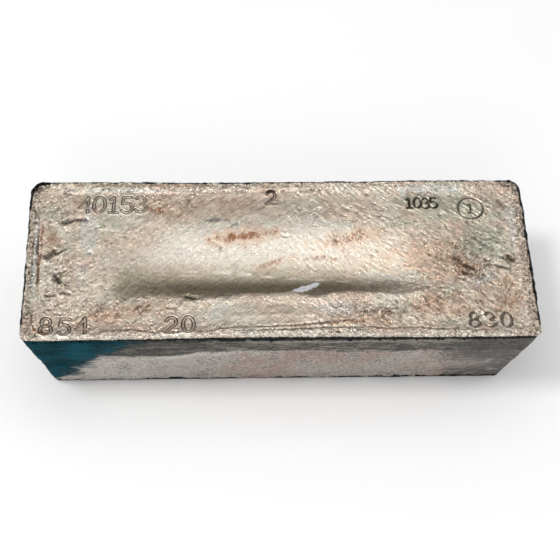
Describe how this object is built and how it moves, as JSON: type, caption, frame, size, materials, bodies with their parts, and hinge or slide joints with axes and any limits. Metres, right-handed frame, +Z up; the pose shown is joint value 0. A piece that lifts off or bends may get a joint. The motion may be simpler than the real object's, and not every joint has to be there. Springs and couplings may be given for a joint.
{
  "type": "metal ingot",
  "caption": "Cast silver ingot: a long bar with drafted walls, rounded corners and a flat base, and an open top face with a raised rim and a shrinkage trough.",
  "frame": {"origin": "middle of the flat base, on the surface that the bar stands on", "axes": "+X along the bar's length, +Z up from the base to the open cast face, +Y across the bar, away from the trough's lowest line"},
  "size_m": [0.335, 0.124, 0.0844],
  "materials": {
    "cast_silver": "as cast, satin silver with warm tarnish, darker mould skin on the walls"
  },
  "bodies": {
    "root": {"ingot": "cast_silver"}
  },
  "joints": []
}
